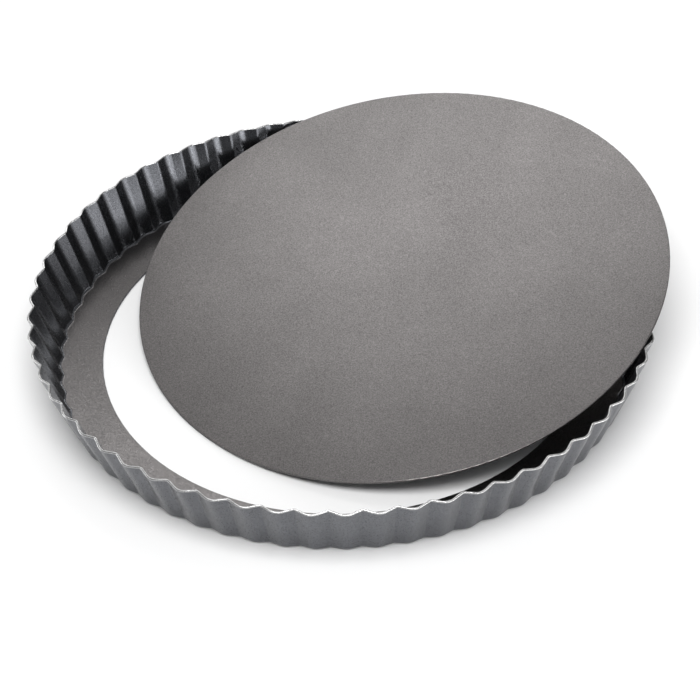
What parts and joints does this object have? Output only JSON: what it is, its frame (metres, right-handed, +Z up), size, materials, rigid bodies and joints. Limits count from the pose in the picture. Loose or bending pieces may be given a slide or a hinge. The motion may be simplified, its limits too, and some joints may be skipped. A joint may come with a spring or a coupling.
{
  "type": "tart pan",
  "caption": "Round fluted tart pan with a flared scalloped wall, an inward ledge and a loose flat base that lies propped across the rim.",
  "frame": {"origin": "centre of the ring's underside, on the table", "axes": "+Z up along the ring's axis; +X through one of the wall's creases; +Y to the back"},
  "size_m": [0.2873, 0.284, 0.0477],
  "materials": {
    "ring_coating": "smooth semi-gloss dark grey non-stick coating on steel",
    "base_coating": "finely speckled satin warm-grey non-stick coating on steel"
  },
  "bodies": {
    "ring": {"fluted_ring": "ring_coating"},
    "base": {"loose_base": "base_coating"}
  },
  "joints": [
    {"name": "base_lift", "type": "slide", "parent": "ring", "child": "base", "axis": [0, 0, 1], "range_m": [0, 0.06]}
  ]
}
